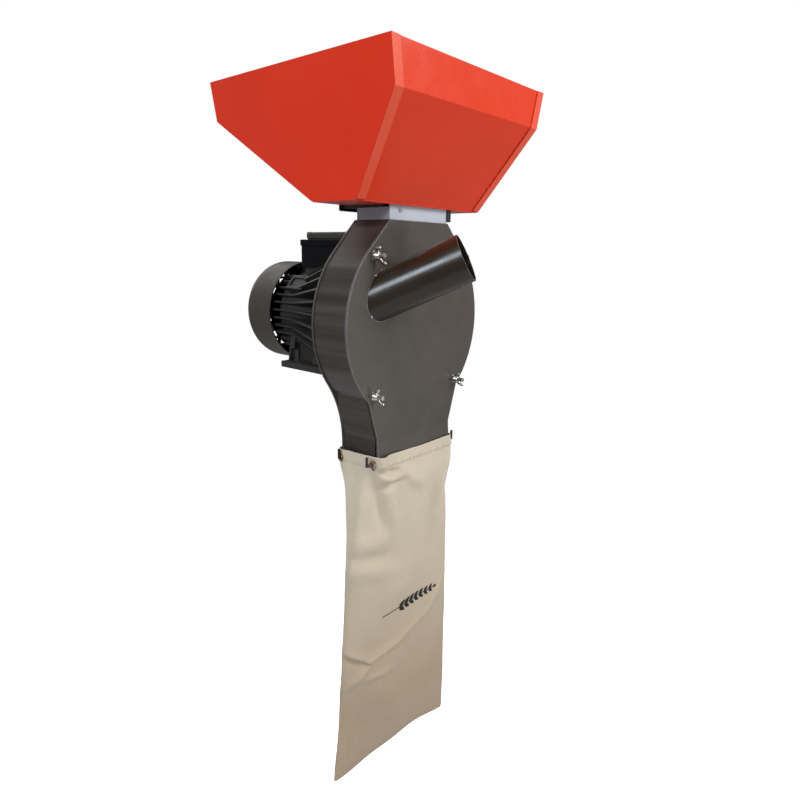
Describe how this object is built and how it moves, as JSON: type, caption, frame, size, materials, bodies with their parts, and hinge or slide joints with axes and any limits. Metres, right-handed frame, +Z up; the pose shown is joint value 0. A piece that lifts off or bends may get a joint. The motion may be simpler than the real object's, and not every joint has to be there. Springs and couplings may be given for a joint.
{
  "type": "grain crusher",
  "caption": "Electric hammer-mill grain crusher: sheet hopper over a slide gate, round casing with inclined feed tube, foot-mounted motor behind and a hanging cloth bag.",
  "frame": {"origin": "centre of the motor's four foot holes, on the underside of the feet", "axes": "+Z up, +Y from the front cover back to the motor's fan, +X to the right as seen from the front; the shaft runs along Y 80 mm above the origin"},
  "size_m": [0.3174, 0.414, 1.0228],
  "materials": {
    "hopper_red": "orange-red powder coat, satin gloss",
    "neck_grey": "light bluish grey paint",
    "casing_paint": "dark brown-grey satin paint",
    "gate_black": "black satin paint",
    "zinc": "bright zinc plate",
    "steel": "plain machined steel",
    "motor_paint": "near-black grey motor paint",
    "fan_cover_paint": "brown-grey paint",
    "electric_steel": "laminated electrical steel",
    "copper": "enamelled copper winding",
    "box_black": "black moulded plastic",
    "lid_grey": "grey-brown lid",
    "gasket_black": "black rubber",
    "capacitor_white": "white plastic can",
    "canvas": "unbleached cotton canvas",
    "eyelet_brass": "browned brass"
  },
  "bodies": {
    "frame": {"bag": "canvas", "bag_eyelets": "eyelet_brass", "bag_hooks": "gate_black", "bearings": "steel", "cable_gland": "box_black", "casing_band": "casing_paint", "casing_rear_plate": "casing_paint", "collar_rivet": "zinc", "cover_studs": "zinc", "cover_washers": "zinc", "fan_cover": "fan_cover_paint", "fan_cover_screws": "zinc", "feed_tube": "casing_paint", "flange_bolts": "zinc", "front_cover": "casing_paint", "front_shield": "motor_paint", "gate_runners": "gate_black", "hopper_clip": "gate_black", "hopper_floor": "hopper_red", "hopper_front": "hopper_red", "hopper_rear": "hopper_red", "hopper_side_left": "hopper_red", "hopper_side_right": "hopper_red", "lid_screws": "zinc", "motor_housing": "motor_paint", "neck_collar": "neck_grey", "rear_shield": "motor_paint", "run_capacitor": "capacitor_white", "runner_screws": "zinc", "screen": "steel", "screen_rails": "steel", "stator_core": "electric_steel", "stator_windings": "copper", "stud_bosses": "steel", "terminal_block": "box_black", "terminal_box": "box_black", "terminal_gasket": "gasket_black", "terminal_lid": "lid_grey", "tie_bolts": "zinc"},
    "rotor": {"motor_shaft": "steel", "rotor_core": "electric_steel", "rotor_hub": "steel", "rotor_disc_front": "steel", "rotor_disc_rear": "steel", "hammer_pins": "steel", "pin_clips": "zinc", "hammer_spacers": "steel", "rotor_key": "steel", "rotor_washer": "zinc", "rotor_bolt": "zinc", "cooling_fan": "box_black"},
    "gate": {"slide_gate": "gate_black"},
    "hammer_1_body": {"hammer_1": "steel"},
    "wing_nut_1_body": {"wing_nut_1": "zinc"},
    "hammer_2_body": {"hammer_2": "steel"},
    "wing_nut_2_body": {"wing_nut_2": "zinc"},
    "hammer_3_body": {"hammer_3": "steel"},
    "wing_nut_3_body": {"wing_nut_3": "zinc"},
    "hammer_4_body": {"hammer_4": "steel"},
    "wing_nut_4_body": {"wing_nut_4": "zinc"}
  },
  "joints": [
    {"name": "rotor_spin", "type": "hinge", "parent": "frame", "child": "rotor", "pos_m": [0, 0, 0.08], "axis": [0, 1, 0], "continuous": true},
    {"name": "gate_slide", "type": "slide", "parent": "frame", "child": "gate", "axis": [0, 1, 0], "range_m": [0, 0.042]},
    {"name": "hammer_1_swing", "type": "hinge", "parent": "rotor", "child": "hammer_1_body", "pos_m": [0.04667, -0.111, 0.12667], "axis": [0, 1, 0], "range_deg": [-280, 10]},
    {"name": "hammer_2_swing", "type": "hinge", "parent": "rotor", "child": "hammer_2_body", "pos_m": [-0.04667, -0.111, 0.12667], "axis": [0, 1, 0], "range_deg": [-10, 280]},
    {"name": "hammer_3_swing", "type": "hinge", "parent": "rotor", "child": "hammer_3_body", "pos_m": [-0.04667, -0.111, 0.03333], "axis": [0, 1, 0], "range_deg": [-100, 190]},
    {"name": "hammer_4_swing", "type": "hinge", "parent": "rotor", "child": "hammer_4_body", "pos_m": [0.04667, -0.111, 0.03333], "axis": [0, 1, 0], "range_deg": [-190, 100]},
    {"name": "wing_nut_1_turn", "type": "hinge", "parent": "frame", "child": "wing_nut_1_body", "pos_m": [-0.09, -0.152, 0.172], "axis": [0, 1, 0], "continuous": true},
    {"name": "wing_nut_2_turn", "type": "hinge", "parent": "frame", "child": "wing_nut_2_body", "pos_m": [0.09, -0.152, 0.172], "axis": [0, 1, 0], "continuous": true},
    {"name": "wing_nut_3_turn", "type": "hinge", "parent": "frame", "child": "wing_nut_3_body", "pos_m": [-0.09, -0.152, -0.012], "axis": [0, 1, 0], "continuous": true},
    {"name": "wing_nut_4_turn", "type": "hinge", "parent": "frame", "child": "wing_nut_4_body", "pos_m": [0.09, -0.152, -0.012], "axis": [0, 1, 0], "continuous": true}
  ]
}
